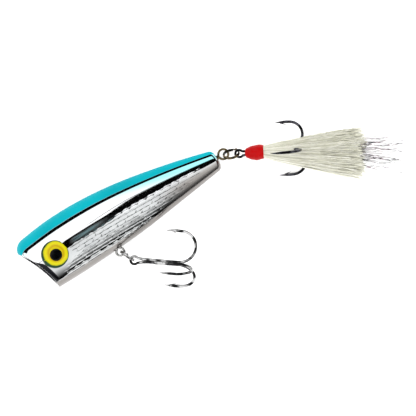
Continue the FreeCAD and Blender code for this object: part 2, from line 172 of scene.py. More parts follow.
# ---------------------------------------------------------------- pieces
def piece(name, points, faces, body, material, replaces, uv=None, laid=True):
    """A finished mesh object from points and faces."""
    mesh = bpy.data.meshes.new(name)
    mesh.from_pydata([Vector(p) for p in points], [], faces)
    if uv:
        layer = mesh.uv_layers.new(name="along_and_round")
        for loop in mesh.loops:
            layer.data[loop.index].uv = uv[loop.vertex_index]
    finish_piece(name, mesh, body, material, replaces, laid)


def finish_piece(name, mesh, body, material, replaces, laid):
    """Puts a mesh where it belongs, in metres, smooth and facing outwards, riding on its body."""
    if laid:
        mesh.transform(LAID)
    mesh.transform(Matrix.Scale(MM, 4))
    shaper = bmesh.new()
    shaper.from_mesh(mesh)
    bmesh.ops.remove_doubles(shaper, verts=shaper.verts, dist=1e-7)
    bmesh.ops.recalc_face_normals(shaper, faces=shaper.faces)
    shaper.to_mesh(mesh)
    shaper.free()
    mesh.shade_smooth()
    if not mesh.materials:
        mesh.materials.append(material)
    obj = bpy.data.objects.new(name, mesh)
    bpy.context.scene.collection.objects.link(obj)
    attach(obj, body)
    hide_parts(*replaces)


def grid_faces(rows, columns, closed=True):
    """Quads of a grid of points, wrapped round if closed."""
    faces = []
    for r in range(rows - 1):
        for c in range(columns if closed else columns - 1):
            d = (c + 1) % columns
            a, b = r * columns, (r + 1) * columns
            faces.append((a + c, a + d, b + d, b + c))
    return faces


def capped(rows, columns):
    """The faces of a closed grid with its first and last rows shut."""
    ends = [tuple(range(columns)), tuple((rows - 1) * columns + k for k in range(columns))]
    return grid_faces(rows, columns) + ends


def tube(path, radii, sides, flatten=None, axis=None):
    """A swept wire: rings of points square to the path, shut at both ends."""
    points = []
    last = len(path) - 1
    side = None
    for i, at in enumerate(path):
        along = (path[min(i + 1, last)] - path[max(i - 1, 0)]).normalized()
        if axis is not None:
            side = along.cross(axis).normalized()
        else:
            side = along.orthogonal() if side is None else side - along * side.dot(along)
            side.normalize()
        other = along.cross(side)
        for k in range(sides):
            turn = 2 * math.pi * k / sides
            u, v = math.cos(turn), math.sin(turn)
            if flatten:
                reach = flatten_reach(u, v)
                u, v = u * reach * flatten[0], v * reach * flatten[1]
            points.append(at + (side * u + other * v) * radii[i])
    return points, capped(len(path), sides)


def flatten_reach(u, v):
    """How far a rounded square reaches in a direction, for rolled wire."""
    return 1 / (abs(u) ** 4 + abs(v) ** 4) ** 0.25


def joined(*parts):
    """Several (points, faces) pairs as one."""
    points, faces = [], []
    for more_points, more_faces in parts:
        offset = len(points)
        points += more_points
        faces += [tuple(offset + k for k in face) for face in more_faces]
    return points, faces


# ---------------------------------------------------------------- materials
def fill(tree, node, inputs):
    """Sets a node's inputs, each to a value or to another node's output."""
    for socket, value in inputs.items():
        if isinstance(value, bpy.types.NodeSocket):
            tree.links.new(value, node.inputs[socket])
        else:
            node.inputs[socket].default_value = value


def add(tree, kind, inputs=None, **settings):
    """Adds a node; settings are its properties."""
    node = tree.nodes.new(kind)
    for name, value in settings.items():
        setattr(node, name, value)
    fill(tree, node, inputs or {})
    return node


def reckon(tree, operation, *values, **settings):
    """The result of one step of arithmetic."""
    return add(tree, "ShaderNodeMath", dict(enumerate(values)), operation=operation, **settings).outputs[0]


def reckon_vector(tree, operation, *values):
    """The result of one step of arithmetic on vectors."""
    return add(tree, "ShaderNodeVectorMath", dict(enumerate(values)), operation=operation).outputs[0]


def scaled(tree, vector, size):
    """A vector times a number."""
    return add(tree, "ShaderNodeVectorMath", {0: vector, "Scale": size}, operation="SCALE").outputs[0]


def combined(tree, *values):
    """A vector from its parts."""
    return add(tree, "ShaderNodeCombineXYZ", dict(enumerate(values))).outputs[0]


def noise(tree, place, scale, detail=2.0):
    """Soft noise from 0 to 1."""
    return add(tree, "ShaderNodeTexNoise", {"Vector": place, "Scale": scale, "Detail": detail}).outputs[0]


def between(tree, factor, low, high):
    """A number between two numbers."""
    return add(tree, "ShaderNodeMix", {"Factor": factor, 2: low, 3: high}, data_type="FLOAT").outputs[0]


def blend(tree, factor, low, high):
    """A colour between two colours."""
    return add(tree, "ShaderNodeMix", {"Factor": factor, 6: low, 7: high}, data_type="RGBA").outputs[2]


def mapped(tree, value, low, high, to_low=0.0, to_high=1.0, easing="SMOOTHSTEP"):
    """value carried from one range to another."""
    node = add(tree, "ShaderNodeMapRange", {"Value": value, "From Min": low, "From Max": high,
               "To Min": to_low, "To Max": to_high}, interpolation_type=easing)
    return node.outputs[0]


def ramp(tree, value, *stops):
    """A colour ramp through (place, hex colour) stops."""
    node = add(tree, "ShaderNodeValToRGB", {0: value})
    elements = node.color_ramp.elements
    while len(elements) < len(stops):
        elements.new(0.5)
    for element, (place, colour) in zip(elements, stops):
        element.position = place
        element.color = linear(colour)
    return node.outputs[0]


def rippled(tree, place, scale, detail, strength, distance):
    """A normal bumped by fine noise; the distance is in metres."""
    return add(tree, "ShaderNodeBump", {"Height": noise(tree, place, scale, detail), "Strength": strength,
               "Distance": distance}).outputs[0]


def own_place(tree):
    """Object coordinates of the piece."""
    return add(tree, "ShaderNodeTexCoord").outputs["Object"]


def own_layout(tree):
    """The two coordinates that the piece's mesh was given."""
    layout = add(tree, "ShaderNodeSeparateXYZ", {0: add(tree, "ShaderNodeUVMap").outputs[0]})
    return layout.outputs[0], layout.outputs[1]


def blank(name):
    """A material with only its shader and output, and its tree."""
    material = bpy.data.materials.new(name)
    material.use_nodes = True
    tree = material.node_tree
    tree.nodes.clear()
    shader = add(tree, "ShaderNodeBsdfPrincipled")
    add(tree, "ShaderNodeOutputMaterial", {"Surface": shader.outputs[0]})
    return material, tree, shader


def plated_abs():
    """Vacuum-metallised ABS: a mirror over moulded scales, opaque turquoise lacquer on the back."""
    material, tree, shader = blank("metallised_abs_turquoise_back")
    along, height = own_layout(tree)
    place = own_place(tree)
    # the masked edge of the spray wanders a little
    edge = reckon(tree, "MULTIPLY_ADD", noise(tree, place, 160.0), 0.008, height)
    painted = mapped(tree, edge, PAINT_EDGE, PAINT_EDGE + 0.010)
    # thin overspray tints the silver below that edge, further down towards the tail
    slope = reckon(tree, "MULTIPLY_ADD", height, 0.9, along)
    tail_mist = mapped(tree, slope, 0.90, 1.12, 0.0, 0.85)
    edge_mist = mapped(tree, height, 0.72, 0.80, 0.0, 0.15)
    mist = reckon(tree, "MAXIMUM", tail_mist, edge_mist)
    mist = reckon(tree, "MULTIPLY", mist, mapped(tree, height, 0.50, 0.58))
    shade = noise(tree, place, 90.0, 3.0)
    bright = ramp(tree, shade, (0.3, "#C6C8CA"), (0.7, "#CFD0D1"))
    grey = ramp(tree, shade, (0.3, "#9A9C9D"), (0.7, "#B4B6B6"))
    shaded_silver = ramp(tree, shade, (0.3, "#777370"), (0.7, "#817E7B"))
    lacquer = ramp(tree, shade, (0.3, "#00808B"), (0.7, "#008C97"))
    # painted shade: the silver is a darker grey on the lower half of the flank than on the upper half
    silver = blend(tree, mapped(tree, height, 0.50, 0.44), bright, grey)
    # painted shade: the metal's colour darkens on the belly, low on the tail and in the mouth, standing in
    # for the dark reflections there
    tail_low = mapped(tree, along, 0.36, 0.50)
    low = mapped(tree, height, 0.50, 0.30)
    belly = mapped(tree, height, 0.12, 0.07)
    painted_shade = reckon(tree, "MULTIPLY_ADD", tail_low, low, belly, use_clamp=True)
    metal = blend(tree, painted_shade, silver, shaded_silver)
    # painted shade: the mouth's cup and the chin's edge go nearly black
    metal = blend(tree, mapped(tree, height, -0.02, -0.22), metal, linear("#1A1B1E"))
    tinted = blend(tree, mist, metal, linear("#73C3C6"))
    shade_roughness = mapped(tree, painted_shade, 0, 1, 0.04, 0.20, "LINEAR")
    fill(tree, shader, {"Base Color": blend(tree, painted, tinted, lacquer),
                        "Roughness": between(tree, painted, shade_roughness, 0.42),
                        "Metallic": mapped(tree, painted, 0, 1, 1.0, 0.0, "LINEAR"),
                        "Specular IOR Level": 0.03,
                        "Normal": rippled(tree, place, 900.0, 2.0, 0.05, 0.00003)})
    return material


def wire_with_painted_reflections(name, dark, light, roughness):
    """Drawn and plated wire: painted reflections as dark and bright stretches a millimetre or two long in
    its colour, and faint pits.
    """
    material, tree, shader = blank(name)
    place = own_place(tree)
    cloud = noise(tree, place, 420.0, 2.5)
    # painted reflections: the colour swings between dark and bright stretches
    fill(tree, shader, {"Base Color": ramp(tree, cloud, (0.44, dark), (0.56, light)),
                        "Metallic": 1.0,
                        "Roughness": mapped(tree, cloud, 0.3, 0.7, roughness * 0.7, roughness * 1.4),
                        "Normal": rippled(tree, place, 4200.0, 2.0, 0.12, 0.00002)})
    return material


def eye_enamel():
    """Yellow enamel under a clear dome: gold cloud round the pupil, and a green to near black edge that is a
    painted reflection of the dome's steep rim.
    """
    material, tree, shader = blank("yellow_enamel_eye")
    round_eye, from_middle = own_layout(tree)
    place = own_place(tree)
    # painted reflection: the dark green edge of the eye reaches further in on the nose side
    noseward = reckon(tree, "COSINE", reckon(tree, "MULTIPLY", round_eye, 2 * math.pi))
    leaning = reckon(tree, "MULTIPLY_ADD", noseward, 0.055, from_middle)
    wander = reckon(tree, "MULTIPLY_ADD", noise(tree, place, 420.0, 5.0), 0.16, leaning)
    # the last two stops are the painted reflection of the dome's steep edge
    colour = ramp(tree, wander, (0.0, "#A09200"), (0.55, "#A09200"), (0.62, "#957400"), (0.70, "#9E9000"),
                  (0.80, "#AEA400"), (0.93, "#A09C00"), (0.99, "#4F5C00"), (1.0, "#12301A"))
    fill(tree, shader, {"Base Color": colour, "Roughness": 0.35, "Specular IOR Level": 0.08,
                        "Coat Weight": 0.12, "Coat Roughness": 0.05,
                        "Normal": rippled(tree, place, 2600.0, 3.0, 0.1, 0.00003)})
    return material


def pupil_enamel():
    """Black enamel drop: deep gloss, with a faint blue-grey cloud."""
    material, tree, shader = blank("black_enamel_pupil")
    colour = ramp(tree, noise(tree, own_place(tree), 900.0), (0.3, "#010101"), (0.8, "#060608"))
    fill(tree, shader, {"Base Color": colour, "Roughness": 0.16, "Specular IOR Level": 0.08})
    return material


def red_thread():
    """Red tying thread under lacquer: wet gloss, with painted shade darker in the grooves between the turns.
    """
    material, tree, shader = blank("red_lacquered_thread")
    place = own_place(tree)
    ridge = own_layout(tree)[1]
    # painted shade: the colour darkens where the ridge is low, in the grooves between the turns
    mixed = reckon(tree, "MULTIPLY_ADD", noise(tree, place, 620.0, 4.0), 0.5, ridge)
    colour = ramp(tree, mixed, (0.30, "#420000"), (0.62, "#7E0001"), (1.0, "#A40104"))
    fill(tree, shader, {"Base Color": colour, "Roughness": 0.35, "Specular IOR Level": 0.05,
                        "Coat Weight": 0.06, "Coat Roughness": 0.10,
                        "Normal": rippled(tree, place, 3800.0, 2.0, 0.25, 0.00004)})
    return material


def bucktail_hair():
    """Bleached bucktail: ivory hair with a soft sheen, each hair a slightly different white."""
    material, tree, shader = blank("bleached_bucktail_hair")
    own_shade = add(tree, "ShaderNodeAttribute", attribute_name="shade").outputs["Fac"]
    mixed = reckon(tree, "MULTIPLY_ADD", noise(tree, own_place(tree), 500.0, 3.0), 0.4, own_shade)
    colour = ramp(tree, mixed, (0.15, "#A5A48C"), (0.45, "#C4C3AE"), (0.75, "#D2D1C0"), (1.0, "#E6E5DC"))
    fill(tree, shader, {"Base Color": colour, "Roughness": 0.5, "Sheen Weight": 0.3,
                        "Subsurface Weight": 0.25, "Subsurface Radius": (0.002, 0.002, 0.0018),
                        "Subsurface Scale": 0.3})
    return material


def pearl_tinsel():
    """Pearl flash film: thin twisting ribbon, with painted glints of grey, silver and faint pink along it.
    """
    material, tree, shader = blank("pearl_flash_film")
    painted_glints = noise(tree, own_place(tree), 330.0, 3.0)
    # painted glints: dark and bright stretches in the colour stand in for light caught by the film
    colour = ramp(tree, painted_glints, (0.36, "#2E2E32"), (0.46, "#8D8D90"), (0.53, "#A08890"), (0.57, "#4C4C50"),
                  (0.66, "#A6A6AA"))
    fill(tree, shader, {"Base Color": colour, "Metallic": 0.75, "Roughness": 0.2})
    return material


def plain_steel():
    """Steel of the hidden weight and balls: grey, faintly clouded."""
    material, tree, shader = blank("turned_steel")
    colour = ramp(tree, noise(tree, own_place(tree), 1500.0), (0.3, "#77787A"), (0.7, "#A2A3A5"))
    fill(tree, shader, {"Base Color": colour, "Metallic": 1.0, "Roughness": 0.4})
    return material


def white_table():
    """Matt white board under the lure: a pale, even ground."""
    material, tree, shader = blank("matt_white_board")
    colour = ramp(tree, noise(tree, own_place(tree), 300.0), (0.3, "#FCFCFC"), (0.7, "#FFFFFF"))
    fill(tree, shader, {"Base Color": colour, "Roughness": 0.9, "Specular IOR Level": 0.1})
    return material


PLATED = plated_abs()
BRIGHT_NICKEL = wire_with_painted_reflections("bright_nickel_plate", "#1B1B1C", "#A8A8A8", 0.12)
BLACK_NICKEL = wire_with_painted_reflections("black_nickel_plate", "#0B0B0E", "#4A4A50", 0.16)
BRONZE = wire_with_painted_reflections("bronzed_spring_wire", "#0E0B06", "#6E6046", 0.16)
STAINLESS = wire_with_painted_reflections("stainless_wire", "#2E2E2E", "#B0B0AE", 0.15)
EYE = eye_enamel()
PUPIL = pupil_enamel()
THREAD = red_thread()
HAIR = bucktail_hair()
TINSEL = pearl_tinsel()
STEEL = plain_steel()


# ---------------------------------------------------------------- body skin
def section(x):
    """Middle height, half height and half width of the body at x."""
    lip = LIP_FALL * (1 - math.sqrt(max(1 - (x / LIP_ROUND) ** 2, 0))) if x < 0 else 0.0
    start = TAIL_X - TAIL_ROUND
    corner = TAIL_ROUND - math.sqrt(max(TAIL_ROUND ** 2 - (x - start) ** 2, 0)) if x > start else 0.0
    top = BACK(x) - lip - corner
    bottom = BELLY(x) + corner
    return (top + bottom) / 2, (top - bottom) / 2, SIDE(x) - LIP_PINCH * lip - corner


def skin_point(x, turn):
    """The body's surface at x; turn is 0 on the left flank and a quarter turn on the back."""
    middle, height, side = section(x)
    return Vector((x, middle + height * math.sin(turn), side * math.cos(turn)))


MOUTH_MIDDLE = (MOUTH_TOP + MOUTH_BOTTOM) / 2
MOUTH_UP = (MOUTH_TOP - MOUTH_BOTTOM).normalized()
MOUTH_OUT = Vector((-MOUTH_UP.y, MOUTH_UP.x, 0))
MOUTH_HALF = (MOUTH_TOP - MOUTH_BOTTOM).length / 2
FACE_RADIUS = (MOUTH_HALF ** 2 + MOUTH_SAG ** 2) / (2 * MOUTH_SAG)
FACE_AXIS = MOUTH_MIDDLE + MOUTH_OUT * (FACE_RADIUS - MOUTH_SAG)


def rim_x(turn):
    """Where the dished front face cuts the surface at this turn, by halving."""
    low, high = NOSE_X, OUTLINE[2][0]
    for _ in range(40):
        middle = (low + high) / 2
        at = skin_point(middle, turn)
        inside = (Vector((at.x, at.y, 0)) - FACE_AXIS).length < FACE_RADIUS
        low, high = (middle, high) if inside else (low, middle)
    return high


def mouth_depth(up, across):
    """How far the mouth lies behind its chord plane: the dished land, then the cup."""
    face = FACE_RADIUS - MOUTH_SAG - math.sqrt(FACE_RADIUS ** 2 - up * up)
    ball = (CUP_RADIUS ** 2 + CUP_DEPTH ** 2) / (2 * CUP_DEPTH)
    room = max(ball ** 2 - (up / CUP_STRETCH) ** 2 - across ** 2, 0.0)
    cup = ball - CUP_DEPTH - MOUTH_SAG - math.sqrt(room)
    soft = 0.25
    blend = max(soft - abs(face - cup), 0) / soft
    return min(face, cup) - blend * blend * soft / 4


def chance(row, cell, number):
    """A fixed number from 0 to 1 for each scale."""
    return (math.sin(row * 12.99 + cell * 78.23 + number * 37.72) * 43758.5453) % 1.0


def scale_height(x, turn):
    """Moulded scales: rows of shingles that rise towards the back and end in a step tailward."""
    _, height, side = section(x)
    row_place = turn * (0.62 * height + 0.38 * side) / SCALE_ROW + 40
    row = math.floor(row_place)
    up = row_place - row
    run = x / SCALE_LENGTH + (0.5 if row % 2 else 0.0) + 0.9 * (up - 0.5) ** 2
    cell = math.floor(run)
    share = run - cell
    shingle = (up - 0.5) * (1 - smooth(0.80, 1.0, up) * 1.6)
    tongue = smooth(0.0, 0.9, share) * (1 - smooth(0.90, 1.0, share))
    return (SCALE_STEP * (0.55 + 0.9 * chance(row, cell, 1)) * shingle
            + SCALE_LIFT * (0.4 + 1.2 * chance(row, cell, 2)) * tongue
            + SCALE_BULGE * math.sin(math.pi * up) * chance(row, cell, 3))


def scale_cover(x, y, turn):
    """1 on the scaled part of the flanks and 0 on the head, the back, the belly and the tail."""
    lean = math.degrees(turn)
    round_eye = math.hypot(x - EYE_X, y - EYE_Y)
    top = -7.5 + 7.0 * smooth(20, 32, x)
    start = 11.0 - 4.0 * smooth(-2, -5, y)
    end = min(56.0 + 4.6 * min(y, 0), 55.0)
    return (smooth(4.3, 5.6, round_eye) * smooth(start - 2.5, start + 2.5, x)
            * (1 - smooth(end - 5, end + 2, x)) * smooth(-58, -51, lean)
            * (1 - smooth(top, top + 4.0, lean)))


def skin_stations(start):
    """x of each row of the skin from the rim to the tail, closer together on the round ends."""
    tail_start = TAIL_X - TAIL_ROUND
    lip = [start + LIP_REACH * (1 - math.cos(math.radians(90 * r / LIP_ROWS))) for r in range(LIP_ROWS)]
    count = SKIN_ROWS - LIP_ROWS - TAIL_ROWS
    long_part = tail_start - start - LIP_REACH
    flat = [start + LIP_REACH + long_part * r / count for r in range(count)]
    tail = [tail_start + TAIL_ROUND * math.sin(math.radians(90 * r / TAIL_ROWS))
            for r in range(TAIL_ROWS + 1)]
    return lip + flat + tail


def skin(x, turn, rim):
    """A point of the finished skin: eased at the mouth, with the scales and the weld seam."""
    _, height, side = section(x)
    at = skin_point(x, turn)
    outward = Vector((0, math.sin(turn) / height, math.cos(turn) / side)).normalized()
    reach = RIM_EASE[0] + (RIM_EASE[1] - RIM_EASE[0]) * (1 - smooth(-4.0, 2.6, at.y))
    left = max(reach - (x - rim), 0.0)
    drop = left * left / (2 * reach) * smooth(0.0, 0.55, math.cos(turn))
    seam = SEAM_DEPTH * math.exp(-(at.z / SEAM_WIDTH) ** 2) * smooth(0.0, 2.0, x - rim)
    cover = scale_cover(x, at.y, turn)
    scales = cover * scale_height(x, turn) if cover > 0 else 0.0
    return at + outward * (scales - seam - drop)


def flank(name, node, side):
    """One half of the body: mouth cup, skin and tail end; side is 1 on the left, -1 on the right."""
    turns = [math.radians(low + (high - low) * k / steps)
             for low, high, steps in FLANK_TURNS for k in range(steps)] + [math.pi / 2]
    rims = [rim_x(turn) for turn in turns]
    edge = [skin(rim, turn, rim) for rim, turn in zip(rims, turns)]
    points, uv = [], []
    for ring in range(CUP_RINGS):
        share = (ring / CUP_RINGS) ** 0.75
        for at in edge:
            up, across = (at - MOUTH_MIDDLE).dot(MOUTH_UP) * share, at.z * share
            place = MOUTH_MIDDLE + MOUTH_UP * up + UP * across + MOUTH_OUT * mouth_depth(up, across)
            points.append(place)
            # below its top the cup gets the painted shade
            uv.append((place.x / 100, MOUTH_SHADE_UV * (1 - smooth(2.5, 5.5, place.y))))
    stations = [skin_stations(rim) for rim in rims]
    for r in range(len(stations[0])):
        for turn, rim, own in zip(turns, rims, stations):
            at = skin(own[r], turn, rim)
            points.append(at)
            # the skin next to the chin's edge gets the painted shade too
            chin = smooth(-60, -48, math.degrees(turn))
            painted_shade = own[r] - rim < PAINTED_SHADE_RIM * chin * (1 - smooth(-0.6, 2.4, at.y))
            uv.append((own[r] / 100, MOUTH_SHADE_UV if painted_shade else 0.5 + 0.5 * math.sin(turn)))
    middle = section(TAIL_X)[0]
    for share in (0.66, 0.33, 0.0):
        for turn in turns:
            rim = skin_point(TAIL_X, turn)
            points.append(Vector((TAIL_X, middle + (rim.y - middle) * share, rim.z * share)))
            uv.append((TAIL_X / 100, 0.5 + 0.5 * math.sin(turn) * share))
    points = [Vector((p.x, p.y, p.z * side)) for p in points]
    faces = grid_faces(len(points) // len(turns), len(turns), closed=False)
    piece(name, points, faces, "lure_body", PLATED, [node], uv)


flank("left_flank_skin", "left_shell", 1)
flank("right_flank_skin", "right_shell", -1)


# ---------------------------------------------------------------- eyes
def eye_pieces(side, sign):
    """The domed eye and its pupil on one flank."""
    middle, height, half_width = section(EYE_X)
    z = half_width * math.sqrt(1 - ((EYE_Y - middle) / height) ** 2)
    at = Vector((EYE_X, EYE_Y, z))
    across = EYE_LEAN.cross(Vector((0, 1, 0))).normalized()
    upward = across.cross(EYE_LEAN)
    if upward.y < 0:
        across, upward = across * -1, upward * -1
    rise = EYE_PROUD - EYE_EDGE
    ball = (EYE_RADIUS ** 2 + rise ** 2) / (2 * rise)
    flip = Matrix.Diagonal((1, 1, sign, 1))

    def dome(radius, lift):
        return EYE_PROUD + lift - ball + math.sqrt(ball ** 2 - radius ** 2)

    def lathe(profile, centre, name, material, node):
        points, uv = [], []
        sides = 96
        for radius, lift in profile:
            for k in range(sides):
                turn = 2 * math.pi * k / sides
                spot = centre + (across * math.cos(turn) + upward * math.sin(turn)) * radius
                points.append(flip @ (spot + EYE_LEAN * lift))
                uv.append((k / sides, radius / EYE_RADIUS))
        faces = grid_faces(len(profile), sides)
        piece(name, points, faces, "lure_body", material, [node], uv)

    edge = 0.16
    profile = [(0.0, dome(0, 0))]
    profile += [(radius, dome(radius, 0)) for radius in (0.6, 1.2, 1.7, 2.2, 2.7, 3.1, 3.4, 3.6, 3.75)]
    corner = (EYE_RADIUS - edge, dome(EYE_RADIUS - edge, 0) - edge)
    profile += [(corner[0] + edge * math.sin(a), corner[1] + edge * math.cos(a))
                for a in (0.2, 0.6, 1.0, 1.35, 1.57)]
    profile += [(EYE_RADIUS, EYE_EDGE - 0.5), (EYE_RADIUS, -EYE_SEAT), (0.0, -EYE_SEAT)]
    lathe(profile, at, f"{side}_eye_dome", EYE, f"{side}_eye")
    drop = 0.055
    pupil = [(0.0, dome(0, drop) + 0.02), (0.7, dome(0.7, drop) + 0.015), (1.2, dome(1.2, drop) + 0.005),
             (PUPIL_RADIUS - 0.12, dome(1.6, drop) - 0.012), (PUPIL_RADIUS, dome(1.7, 0) - 0.01),
             (PUPIL_RADIUS - 0.05, dome(1.7, 0) - 0.25), (0.0, dome(1.7, 0) - 0.25)]
    lathe(pupil, at - upward * PUPIL_DROP, f"{side}_pupil_drop", PUPIL, f"{side}_pupil")


eye_pieces("left", 1)
eye_pieces("right", -1)


# ---------------------------------------------------------------- wires in the body
INNER_LOOP, LEG_SPACING = 1.15, 0.44     # the loop round a pin; legs from the middle, in wire widths


def wire_figure(name, node, eye, inner, loop, wire, material, slot):
    """One bent wire: an eye outside, two legs side by side and a loop round its pin."""
    eye, inner = Vector((*eye, 0)), Vector((*inner, 0))
    along = (inner - eye).normalized()
    across = UP.cross(along)
    leg = wire * LEG_SPACING
    path = []
    gap = math.asin(leg / loop)
    inner_gap = math.asin(leg / INNER_LOOP)
    # the wire's free end lies in the inner loop, beside its own leg
    for k in range(25):
        turn = -inner_gap + (2 * math.pi - 0.25) * (1 - k / 24)
        path.append(inner - along * (INNER_LOOP * math.cos(turn)) + across * (INNER_LOOP * math.sin(turn)))
    for share in (0.25, 0.5, 0.75):
        path.append(inner.lerp(eye, share) - across * leg)
    for k in range(41):
        turn = -gap - (2 * math.pi - 2 * gap) * k / 40
        path.append(eye + along * (loop * math.cos(turn)) + across * (loop * math.sin(turn)))
    for share in (0.25, 0.5):
        path.append(eye.lerp(inner, share) + across * leg)
    points, faces = tube(path, [wire / 2] * len(path), 16)
    piece(name, points, faces, "lure_body", material, [node])


wire_figure("line_tie_wire", "line_tie", material=STAINLESS, slot="stainless_wire", **LINE_TIE)
wire_figure("belly_hanger_wire", "belly_hanger", material=STAINLESS, slot="stainless_wire", **BELLY_HANGER)
wire_figure("tail_hanger_wire", "tail_hanger", material=BRONZE, slot="black_nickel", **TAIL_HANGER)


# ---------------------------------------------------------------- split rings
def ring_frame(hanger, direction, rise, near, twist):
    """Middle, axis and outward direction of a split ring, and the place of the hook's eye."""
    eye = LAID @ Vector((*hanger["eye"], 0))
    turn = LAID.to_3x3()
    lure_up = turn @ UP
    away = turn @ flat_direction(direction, rise)
    level = lure_up.cross(away).normalized()
    axis = about(away, twist) @ away.cross(level)
    return eye + away * (near + RING_RADIUS), axis, away, eye + away * (near + 2 * RING_RADIUS + HOOK_LINK)


def split_ring(name, node, body, hanger, ring, material):
    """Two turns of flattened wire with square-cut ends and a step where they cross."""
    middle, axis, away, _ = ring_frame(hanger, **ring)
    start = axis.cross(away)
    other = axis.cross(start)
    pitch = RING_THICK * 1.03
    steps = 150
    path = []
    for k in range(steps + 1):
        turn = 2 * math.pi * RING_TURNS * k / steps
        lift = pitch * (RING_TURNS * k / steps - RING_TURNS / 2)
        path.append(middle + (start * math.cos(turn) + other * math.sin(turn)) * RING_RADIUS + axis * lift)
    points, faces = tube(path, [1.0] * len(path), 20, flatten=(RING_WIDE / 2, RING_THICK / 2), axis=axis)
    piece(name, points, faces, body, material, [node], laid=False)


split_ring("belly_ring_coil", "belly_split_ring", "belly_ring", BELLY_HANGER, BELLY_RING,
           BRIGHT_NICKEL)
split_ring("tail_ring_coil", "tail_split_ring", "tail_ring", TAIL_HANGER, TAIL_RING,
           BRONZE)


# ---------------------------------------------------------------- treble hooks
def hook_axes(direction, rise, roll, eye_turn):
    """Unit vectors along the shank and square to the eye, and the three prongs' directions."""
    along = flat_direction(direction, rise)
    upward = along.cross(UP.cross(along).normalized())
    facing = about(along, eye_turn) @ upward
    return along, facing, [about(along, roll + 120 * k) @ upward for k in (0, 1, 2)]


def prong_path(at, along, outward, wire, reach, straight, tip, begin):
    """Middle line and radii of one prong, from its shank to the needle point."""
    stand = wire * SHANK_PACK
    bend = (reach - stand) / 2
    path, radii = [], []
    for k in range(13):
        path.append(at + along * (begin + (straight - begin) * k / 12) + outward * stand)
        radii.append(wire / 2)
    middle = at + along * straight + outward * (stand + bend)
    for k in range(1, 33):
        turn = math.pi * k / 32
        path.append(middle + along * (bend * math.sin(turn)) - outward * (bend * math.cos(turn)))
        radii.append(wire / 2)
    length = straight - tip
    for k in range(1, 21):
        share = k / 20
        left = length * (1 - share)
        taper = min(left / POINT_TAPER, 1.0)
        bow = 0.10 * math.sin(math.pi * share)
        path.append(at + along * (straight - length * share) + outward * (reach + bow - 0.10 * share))
        radii.append(max(wire / 2 * taper ** 0.72, 0.018))
    return path, radii


def barb(at, along, outward, wire, reach, tip):
    """A sliver cut up from the inside of the point, leaning back to the bend."""
    root = at + along * (tip + BARB_BACK - 0.55) + outward * (reach - wire * 0.20)
    lean = (along - outward * 0.44).normalized()
    path = [root + lean * (2.0 * k / 8) for k in range(9)]
    radii = [0.24 * (1 - 0.9 * (k / 8) ** 1.6) for k in range(9)]
    return tube(path, radii, 10, flatten=(0.75, 1.0), axis=along.cross(outward))


def treble(place, hanger, ring, hook, material):
    """The two-prong wire, bent round the eye in one length, and the brazed third prong."""
    at = ring_frame(hanger, **ring)[3]
    along, facing, outwards = hook_axes(*(hook[key] for key in ("direction", "rise", "roll", "eye_turn")))
    sizes = [hook[key] for key in ("wire", "reach", "straight", "tip")]
    wire = sizes[0]
    side = facing.cross(along)
    body = f"{place}_hook"
    legs = sorted(outwards[1:], key=lambda outward: outward.dot(side))
    first, first_radii = prong_path(at, along, legs[0], *sizes, begin=2.6)
    second, second_radii = prong_path(at, along, legs[1], *sizes, begin=2.6)
    loop, loop_radii = [], []
    for k in range(45):
        turn = math.radians(-38 - 284 * k / 44)
        loop.append(at + along * (HOOK_EYE * math.cos(turn)) + side * (HOOK_EYE * math.sin(turn)))
        loop_radii.append(HOOK_EYE_WIRE / 2)
    path = first[::-1] + loop + second
    radii = first_radii[::-1] + loop_radii + second_radii
    barbs = [barb(at, along, outward, wire, hook["reach"], hook["tip"]) for outward in outwards]
    points, faces = joined(tube(path, radii, 16), barbs[1], barbs[2])
    piece(f"{place}_treble_pair", points, faces, body, material, [f"{place}_treble_double"],
          laid=False)
    path, radii = prong_path(at, along, outwards[0], *sizes, begin=SINGLE_FROM - 0.4)
    radii[0] = wire * 0.2
    points, faces = joined(tube(path, radii, 16), barbs[0])
    piece(f"{place}_treble_third", points, faces, body, material, [f"{place}_treble_single"],
          laid=False)
    return at, along


treble("belly", BELLY_HANGER, BELLY_RING, BELLY_HOOK, BRIGHT_NICKEL)
TAIL_EYE, TAIL_SHANK = treble("tail", TAIL_HANGER, TAIL_RING, TAIL_HOOK, BLACK_NICKEL)


# ---------------------------------------------------------------- thread wrap
def thread_wrap():
    """Close turns of thread over a lump of hair butts, softened by lacquer."""
    across = UP.cross(TAIL_SHANK).normalized()
    upward = TAIL_SHANK.cross(across)
    shape = natural_spline(WRAP)
    rows, sides = 220, 72
    turn_pitch = 0.26
    lumps = [(random.uniform(2.4, 7.0), random.uniform(0, 2 * math.pi), random.uniform(-0.16, 0.20))
             for _ in range(18)]
    points, uv = [], []
    start, end = WRAP[0][0], WRAP[-1][0]
    for r in range(rows + 1):
        along = start + (end - start) * r / rows
        for k in range(sides):
            turn = 2 * math.pi * k / sides
            ridge = abs(math.sin(math.pi * (along / turn_pitch - k / sides)))
            swell = sum(height * math.exp(-((along - where) / 0.8) ** 2
                                          - (1 - math.cos(turn - facing)) * 3)
                        for where, facing, height in lumps)
            ends = smooth(start, start + 0.25, along) * (1 - smooth(end - 0.3, end, along) * 0.5)
            radius = (shape(along) + swell) * (0.72 + 0.28 * ends) + 0.06 * ridge
            points.append(TAIL_EYE + TAIL_SHANK * along
                          + (across * math.cos(turn) + upward * math.sin(turn)) * radius)
            # the ridge height goes to the thread's colour for the painted shade in its grooves
            uv.append((k / sides, ridge))
    piece("red_thread_wrap", points, capped(rows + 1, sides), "tail_hook", THREAD,
          ["thread_wrap"], uv, laid=False)


random.seed(7)
thread_wrap()


# ---------------------------------------------------------------- hair and flash
STRAND_SIZES = {"Strands": "Int", "Seed": "Int", "Length": "Float", "Uneven": "Float", "Root": "Vector",
                "Tip": "Vector", "Wave": "Float", "Crimp": "Float", "Droop": "Vector", "Width": "Float",
                "Spread": "Float"}


